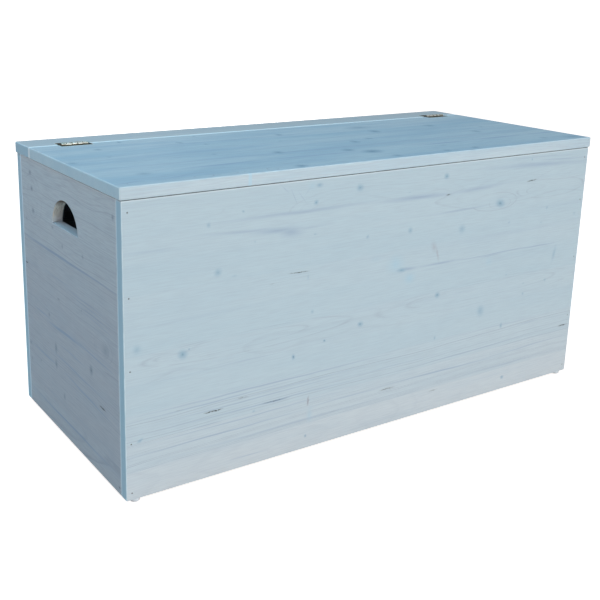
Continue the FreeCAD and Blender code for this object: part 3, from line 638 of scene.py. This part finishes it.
def beech_plywood(node):
    """Give the bottom its sanded plywood: short flecks on its two faces, and its layers showing
    by turns along the edges."""
    low, size = board_box(node, "XYZ")
    material, tree, shader = new_finish("beech_plywood")
    place = placed(tree, low, "XYZ")
    _, _, height = split(tree, place)
    figure = noise(tree, place, (5, 34, 34), 4.0, 0.6)
    fleck = noise(tree, place, (150, 900, 900), 2.0, 0.6)
    paint = tinted(tree, ramp(tree, figure, 0.35, 0.7, 0.0, 0.5), PLY_FACE, PLY_FLECK)
    paint = tinted(tree, ramp(tree, fleck, 0.58, 0.72, 0.0, 0.6), paint, PLY_FLECK)
    layer = maths(tree, "MULTIPLY", height, PLY_LAYERS / size[2])
    layer = ramp(tree, maths(tree, "PINGPONG", layer, 1.0), 0.35, 0.65)
    above = ramp(tree, height, *PLY_FACE_DEPTH)
    depth = maths(tree, "SUBTRACT", size[2], height)
    inner = maths(tree, "MULTIPLY", above, ramp(tree, depth, *PLY_FACE_DEPTH))
    paint = tinted(tree, maths(tree, "MULTIPLY", layer, inner), paint, PLY_EDGE)
    dress(tree, shader, paint, ramp(tree, figure, 0.3, 0.7, 0.5, 0.66), fleck, 0.3, 0.0002)
    give(node, material)


for cleat, order, seed in (("front_cleat", "XZY", 131.0), ("back_cleat", "XZY", 137.0),
                           ("left_cleat", "YZX", 139.0), ("right_cleat", "YZX", 149.0)):
    bare_spruce(cleat, order, seed)
beech_plywood("bottom_panel")


# Screws and brads
# Zinc-plated screws hold the cleats and the bottom. The boards are nailed at the corners with
# lost-head steel brads, set just under the glaze, which has dulled their heads.
ZINC = (176, 180, 182)
ZINC_BLOOM = (126, 130, 132)
BRAD = (134, 142, 150)
BRAD_RUST = (118, 110, 104)
CORNERS = ("front_left", "front_right", "back_left", "back_right")


def plated(name, bright, dull, metallic, smooth, rough, grain=900.0):
    """A metal finish that is clouded in patches, where it is also rougher."""
    material, tree, shader = new_finish(name)
    plain = add(tree, "TexCoord").outputs["Object"]
    bloom = noise(tree, plain, (grain, grain, grain), 3.0, 0.6)
    patch = noise(tree, plain, (130, 130, 130))
    cloud = ramp(tree, maths(tree, "MULTIPLY_ADD", bloom, 0.4, patch), 0.55, 0.85)
    dress(tree, shader, tinted(tree, cloud, bright, dull),
          ramp(tree, cloud, 0.0, 1.0, smooth, rough), bloom, 0.2, 0.00005)
    shader.inputs["Metallic"].default_value = metallic
    return material


zinc = plated("zinc_plating", ZINC, ZINC_BLOOM, 1.0, 0.28, 0.5)
for side in ("front", "back", "left", "right"):
    give(side + "_cleat_screws", zinc)
    give(side + "_bottom_screws", zinc)
brad = plated("glazed_over_brad", BRAD, BRAD_RUST, 0.4, 0.45, 0.7)
for corner in CORNERS:
    give(corner + "_brads", brad)


# Glides
# Glides of white moulded plastic, round with a rounded rim, stand under the four corners. Each
# is held by a nail, whose head is sunk in its underside.
GLIDE = (226, 232, 238)
GLIDE_SCUFF = (186, 190, 194)


def moulded_plastic():
    """White plastic with a fine skin, scuffed most where it meets the floor."""
    material, tree, shader = new_finish("white_moulded_plastic")
    plain = add(tree, "TexCoord").outputs["Object"]
    _, _, height = split(tree, plain)
    scratch = noise(tree, plain, (900, 240, 240), 3.0, 0.6)
    scuff = maths(tree, "MULTIPLY", ramp(tree, height, 0.0004, 0.003, 1.0, 0.15),
                  ramp(tree, scratch, 0.42, 0.68))
    dress(tree, shader, tinted(tree, scuff, GLIDE, GLIDE_SCUFF),
          ramp(tree, scuff, 0.0, 0.6, 0.34, 0.6), noise(tree, plain, (1400, 1400, 1400)),
          0.15, 0.0001)
    return material


moulded = moulded_plastic()
for corner in CORNERS:
    give(corner + "_glide", moulded)
give("glide_nails", plated("bright_nail", ZINC, BRAD_RUST, 1.0, 0.3, 0.55))


# Rear rail and its dowels
# The rail is a strip of the same glazed board, glued and dowelled down on the back board and
# the two sides. The dowels are plain beech.
RAIL_STAVE_SHARES = ((0.70, 0.60, 0.90, 0.40), (0.20, 0.45, 1.00, 0.40))
RAIL_KNOT_SHARES = (
    (0.205, 0.46, 8, 5, 0, 0.70), (0.395, 0.70, 6, 4, 0, 0.60), (0.560, 0.30, 7, 5, 0, 0.60),
    (0.745, 0.62, 9, 6, 0, 0.70),
)
RAIL_STREAK_SHARES = ((0.300, 0.55, 180, 2.4, 0, 0.50), (0.700, 0.35, 160, 2.4, 0, 0.50))
# A painted highlight line along the rail's front edge at the seam.
RAIL_HIGHLIGHT_SHARES = ((0.5, 0.028, 2400, 3.0, 0, 1.0),)
RAIL_GLAZE = {**FACE_GLAZE, "stave_tone_and_painted_light": (197, 199, 200)}
BEECH = (206, 170, 132)
BEECH_FLECK = (168, 126, 88)
HINGE_PINS = {side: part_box(side + "_hinge_pin") for side in ("left", "right")}
POCKET_HALF_LENGTH = 0.0302
POCKET_HALF_HEIGHT = 0.005
RAIL_POCKET_REACH = 0.023


def hinge_pockets(node, reach):
    """The pockets of the two hinges in a board: their middles and half sizes, measured from
    the board's low corner. A pocket reaches so far to each side of the hinge line."""
    low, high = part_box(node)
    middles = [pin_low.lerp(pin_high, 0.5) for pin_low, pin_high in HINGE_PINS.values()]
    return [((middle.x - low.x, middle.y - low.y, high.z - low.z),
             (POCKET_HALF_LENGTH, reach, POCKET_HALF_HEIGHT)) for middle in middles]


def plain_beech():
    """Pale beech with short brown flecks along the peg."""
    material, tree, shader = new_finish("plain_beech")
    fleck = noise(tree, add(tree, "TexCoord").outputs["Object"], (900, 900, 120), 2.0, 0.6)
    paint = tinted(tree, ramp(tree, fleck, 0.45, 0.7, 0.0, 0.8), BEECH, BEECH_FLECK)
    dress(tree, shader, paint, ramp(tree, fleck, 0.35, 0.7, 0.56, 0.74), fleck, 0.3, 0.0002)
    return material


glazed_board("rear_rail", "XYZ", 103.0, RAIL_GLAZE, RAIL_STAVE_SHARES, first=0.02,
             knots=RAIL_KNOT_SHARES, streaks=RAIL_STREAK_SHARES,
             pockets=hinge_pockets("rear_rail", RAIL_POCKET_REACH),
             highlight_lines=RAIL_HIGHLIGHT_SHARES, covered=0.0)
give("rail_dowels", plain_beech())


# Lid
# The lid is the same glazed board, a little thicker, with all its edges eased. It lies on the
# box and turns on the two hinges along its back edge.
LID_STAVE_SHARES = (
    (0.50, 0.18, 0.10, 0.40), (0.75, 0.60, 0.15, 0.70), (0.25, 0.50, 0.30, 0.90),
    (0.70, 0.55, 0.10, 0.70), (0.20, 0.60, 0.25, 0.70), (0.60, 0.40, 0.00, 0.80),
    (0.30, 0.70, 0.35, 0.70), (0.75, 0.50, 0.45, 0.80),
)
LID_KNOT_SHARES = (
    (0.095, 0.803, 10, 12, 0, 0.80), (0.252, 0.808, 11, 12, 0, 0.80),
    (0.465, 0.808, 12, 14, 0, 0.80), (0.664, 0.822, 50, 26, 0, 0.60),
    (0.661, 0.676, 17, 20, 0, 0.95), (0.287, 0.715, 7, 10, 0, 0.65),
    (0.817, 0.705, 16, 18, 0, 0.80), (0.425, 0.630, 6, 8, 0, 0.60),
    (0.083, 0.606, 6, 8, 0, 0.60), (0.010, 0.535, 12, 14, 0, 0.70),
    (0.908, 0.557, 12, 12, 0, 0.55), (0.594, 0.503, 12, 12, 0, 0.75),
    (0.249, 0.459, 7, 9, 0, 0.60), (0.545, 0.448, 13, 16, 0, 0.88),
    (0.848, 0.430, 14, 16, 0, 0.78), (0.355, 0.365, 15, 16, 0, 0.85),
    (0.477, 0.268, 18, 17, 0, 0.88), (0.507, 0.188, 30, 24, 0, 0.92),
    (0.073, 0.196, 20, 15, 0, 0.60), (0.908, 0.106, 12, 12, 0, 0.60),
    (0.319, 0.041, 16, 14, 0, 0.92), (0.520, 0.048, 14, 11, 0, 0.80),
    (0.634, 0.044, 12, 10, 0, 0.80), (0.703, 0.048, 12, 11, 0, 0.85),
    (0.158, 0.951, 4, 10, 0, 0.95), (0.311, 0.957, 4, 9, 0, 0.75),
    (0.970, 0.060, 40, 20, 0, 0.55), (0.668, 0.165, 14, 8, 0, 0.55),
)
LID_STREAK_SHARES = (
    (0.380, 0.352, 560, 5.0, 0, 0.60), (0.780, 0.356, 400, 5.0, 0, 0.50),
    (0.400, 0.780, 420, 4.0, 0, 0.50), (0.500, 0.603, 450, 3.4, 0, 0.45),
    (0.215, 0.225, 110, 6.0, 1, 0.75), (0.400, 0.222, 150, 6.0, -0.8, 0.75),
    (0.690, 0.220, 90, 6.0, 0, 0.85), (0.830, 0.225, 110, 8.0, 0, 0.70),
    (0.960, 0.230, 80, 7.0, 0, 0.60), (0.560, 0.500, 300, 9.0, 0, 0.30),
    (0.820, 0.790, 200, 12.0, 0, 0.40), (0.090, 0.890, 60, 5.0, 0, 0.35),
    (0.250, 0.560, 260, 12.0, 0, 0.30), (0.720, 0.640, 260, 12.0, 0, 0.30),
    (0.110, 0.085, 60, 3.0, 14, 0.60), (0.020, 0.060, 40, 3.0, 10, 0.70),
)
LID_RING_SHARES = (
    (0.050, 0.045, 30, 12, 0, 0.75), (0.120, 0.045, 40, 14, 0, 0.70),
    (0.165, 0.045, 38, 10, 0, 0.75), (0.245, 0.045, 30, 13, 0, 0.75),
    (0.290, 0.045, 34, 15, 0, 0.70), (0.560, 0.050, 50, 14, 0, 0.50),
)
LID_PALE_SHARES = ((0.214, 0.0, 4.0, 9, 0, 1.0),)
# Painted highlight lines along the lid's back edge at the seam and along its front edge.
LID_HIGHLIGHT_SHARES = ((0.5, 0.994, 2400, 3.4, 0, 0.85), (0.5, 0.0, 2400, 3.0, 0, 0.27))
LID_GLAZE = {
    **FACE_GLAZE, "knot": (132, 160, 178), "heart": (118, 146, 168), "end": (197, 230, 242),
    "clouds": 0.75, "bands": 0.40, "fibres": 0.34, "end grain": 0.60, "ragged": 3.0,
}
LID_STAVE_WIDTH = 0.046
LID_FIRST_STAVE = 0.006
LID_POCKET_REACH = 0.019
glazed_board("lid_panel", "XYZ", 83.0, LID_GLAZE, LID_STAVE_SHARES, first=LID_FIRST_STAVE,
             width=LID_STAVE_WIDTH, knots=LID_KNOT_SHARES, streaks=LID_STREAK_SHARES,
             pale=LID_PALE_SHARES, rings=LID_RING_SHARES,
             pockets=hinge_pockets("lid_panel", LID_POCKET_REACH),
             highlight_lines=LID_HIGHLIGHT_SHARES, covered=0.0)


# Hinges
# Two brassed steel butt hinges, five knuckles each, let in flush across the seam and fixed
# with countersunk screws. The plating has gone pale and blotchy; the pins are drawn steel.
BRASS = (246, 248, 240)
BRASS_TARNISH = (178, 178, 166)
# Patina, together with painted shade in the recess and between the knuckles.
BRASS_PATINA_AND_SHADE = (98, 92, 74)
SCREW_BRASS = (200, 198, 184)
PIN_STEEL = (168, 170, 172)
PIN_DULL = (110, 112, 114)
KNUCKLE_COUNT = 5
PATINA_AND_SHADE_REACH = (-0.0004, 0.0014)
JOINT_SHARES = (0.02, 0.10)
PATINA_AND_SHADE_SHARE = 0.9


def hinge_brass(name, pin_low, pin_high, board_top):
    """Pale brassed steel, rubbed bright on the knuckles and darkened between them, on the leaves,
    which lie below the top of the board, and on the lower barrel: patina together with painted
    shade of the recess and the joints."""
    material = plated(name, BRASS, BRASS_TARNISH, 0.6, 0.26, 0.5, grain=1400.0)
    tree = material.node_tree
    shader = tree.nodes["Principled BSDF"]
    metal = shader.inputs["Base Color"].links[0].from_socket
    along, _, height = split(tree, add(tree, "TexCoord").outputs["Object"])
    # The brass is darkened below the board top and a little up the barrel, and between the
    # knuckles: patina and painted shade.
    start, stop = (board_top + rise for rise in PATINA_AND_SHADE_REACH)
    low = ramp(tree, height, start, stop, PATINA_AND_SHADE_SHARE, 0.0)
    pitch = (pin_high.x - pin_low.x) / KNUCKLE_COUNT
    knuckle = maths(tree, "MULTIPLY_ADD", along, 1 / pitch, -pin_low.x / pitch)
    joint = maths(tree, "PINGPONG", knuckle, 0.5)
    joint = ramp(tree, joint, *JOINT_SHARES, PATINA_AND_SHADE_SHARE, 0.0)
    patina_and_shade = maths(tree, "MAXIMUM", low, joint)
    tree.links.new(tinted(tree, patina_and_shade, metal, BRASS_PATINA_AND_SHADE), shader.inputs["Base Color"])
    return material


pin_steel = plated("drawn_pin_steel", PIN_STEEL, PIN_DULL, 1.0, 0.25, 0.45)
screw_brass = plated("hinge_screw_plating", SCREW_BRASS, BRASS_TARNISH, 1.0, 0.3, 0.5)
lid_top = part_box("lid_panel")[1].z
for side, (pin_low, pin_high) in HINGE_PINS.items():
    leaf_brass = hinge_brass(side + "_hinge_brass", pin_low, pin_high, lid_top)
    give(side + "_hinge_pin", pin_steel)
    for holder in ("rail", "lid"):
        give(side + "_hinge_" + holder + "_leaf", leaf_brass)
        give(side + "_hinge_" + holder + "_screws", screw_brass)


# Floor, lights and camera
# A white studio floor under soft boxes: a broad key in front, a cool one overhead, and weak ones
# above the left end, at the front left corner and low behind. It is seen from the front left
# and a little above.
FLOOR_REACH = 400.0
FLOOR_GLOW = 0.85
floor_mesh = bpy.data.meshes.new("floor")
floor_mesh.from_pydata([
    (-FLOOR_REACH, -FLOOR_REACH, 0), (FLOOR_REACH, -FLOOR_REACH, 0),
    (FLOOR_REACH, FLOOR_REACH, 0), (-FLOOR_REACH, FLOOR_REACH, 0)], [], [(0, 1, 2, 3)])
floor = bpy.data.objects.new("floor", floor_mesh)
bpy.context.scene.collection.objects.link(floor)
floor_finish, floor_tree, floor_shader = new_finish("pale_floor")
floor_shader.inputs["Base Color"].default_value = (0.75, 0.72, 0.69, 1)
floor_shader.inputs["Specular IOR Level"].default_value = 0.0
floor_shader.inputs["Roughness"].default_value = 0.9
floor_shader.inputs["Emission Color"].default_value = (1, 0.97, 0.95, 1)
seen_directly = add(floor_tree, "LightPath").outputs["Is Camera Ray"]
floor_tree.links.new(maths(floor_tree, "MULTIPLY", FLOOR_GLOW, seen_directly),
                     floor_shader.inputs["Emission Strength"])
floor_mesh.materials.append(floor_finish)

ROOM_TINT = (0.360, 0.318, 0.325, 1)
WALL_TINT = (0.9, 0.9, 0.9, 1)
world = bpy.data.worlds.new("studio")
world.use_nodes = True
bpy.context.scene.world = world
studio = world.node_tree
room = studio.nodes["Background"]
room.inputs["Color"].default_value = ROOM_TINT
wall = add(studio, "Background", [("Color", WALL_TINT)])
seen = add(studio, "MixShader", [(0, add(studio, "LightPath").outputs["Is Camera Ray"]),
                                 (1, room.outputs[0]), (2, wall.outputs[0])])
studio.links.new(seen.outputs[0], studio.nodes["World Output"].inputs[0])

# Each soft box: its name, place, side in metres, watts and tint. All face the same aim.
LIGHT_AIM = (0, 0, 0.3)
SOFT_BOXES = (
    ("key", (0.5, -4.6, 0.9), 3.0, 141, (0.975, 1.0, 0.985)),
    ("overhead", (-0.6, 0.3, 3.2), 2.4, 45.3, (0.19, 0.745, 1.0)),
    ("left_fill", (-1.25, 0.3, 1.35), 1.0, 2.35, (0.79, 0.82, 1.0)),
    ("corner_fill", (-4.2, -3.2, 0.9), 1.6, 9.8, (0.785, 0.935, 1.0)),
    ("back_fill", (1.8, 4.2, 0.3), 0.5, 59, (1.0, 1.0, 1.0)),
)
for name, place, side, power, tint in SOFT_BOXES:
    lamp = bpy.data.lights.new(name, "AREA")
    lamp.size = side
    lamp.energy = power
    lamp.color = tint
    holder = bpy.data.objects.new(name, lamp)
    holder.location = place
    facing = Vector(LIGHT_AIM) - Vector(place)
    holder.rotation_euler = facing.to_track_quat("-Z", "Z").to_euler()
    holder.visible_camera = False
    bpy.context.scene.collection.objects.link(holder)

CAMERA_PLACE = (-1.021, -1.372, 0.766)
CAMERA_AZIMUTH, CAMERA_ELEVATION, CAMERA_ROLL = -32.87, 14.64, 1.05
PHOTO_SIDE = 600
FOCAL_PIXELS = 921.3
AXIS_PIXEL = (255, 229)
SENSOR = 36.0
azimuth, elevation, roll = (math.radians(angle) for angle in
                            (CAMERA_AZIMUTH, CAMERA_ELEVATION, CAMERA_ROLL))
backward = Vector((math.sin(azimuth) * math.cos(elevation),
                   -math.cos(azimuth) * math.cos(elevation), math.sin(elevation)))
level = Vector((math.cos(azimuth), math.sin(azimuth), 0))
upright = backward.cross(level)
right = level * math.cos(roll) + upright * math.sin(roll)
up = upright * math.cos(roll) - level * math.sin(roll)
lens = bpy.data.cameras.new("camera")
lens.sensor_width = SENSOR
lens.lens = FOCAL_PIXELS * SENSOR / PHOTO_SIDE
lens.shift_x = (PHOTO_SIDE / 2 - AXIS_PIXEL[0]) / PHOTO_SIDE
lens.shift_y = (AXIS_PIXEL[1] - PHOTO_SIDE / 2) / PHOTO_SIDE
camera = bpy.data.objects.new("camera", lens)
camera.matrix_world = Matrix.Translation(CAMERA_PLACE) @ Matrix(
    (right, up, backward)).transposed().to_4x4()
bpy.context.scene.collection.objects.link(camera)
bpy.context.scene.camera = camera
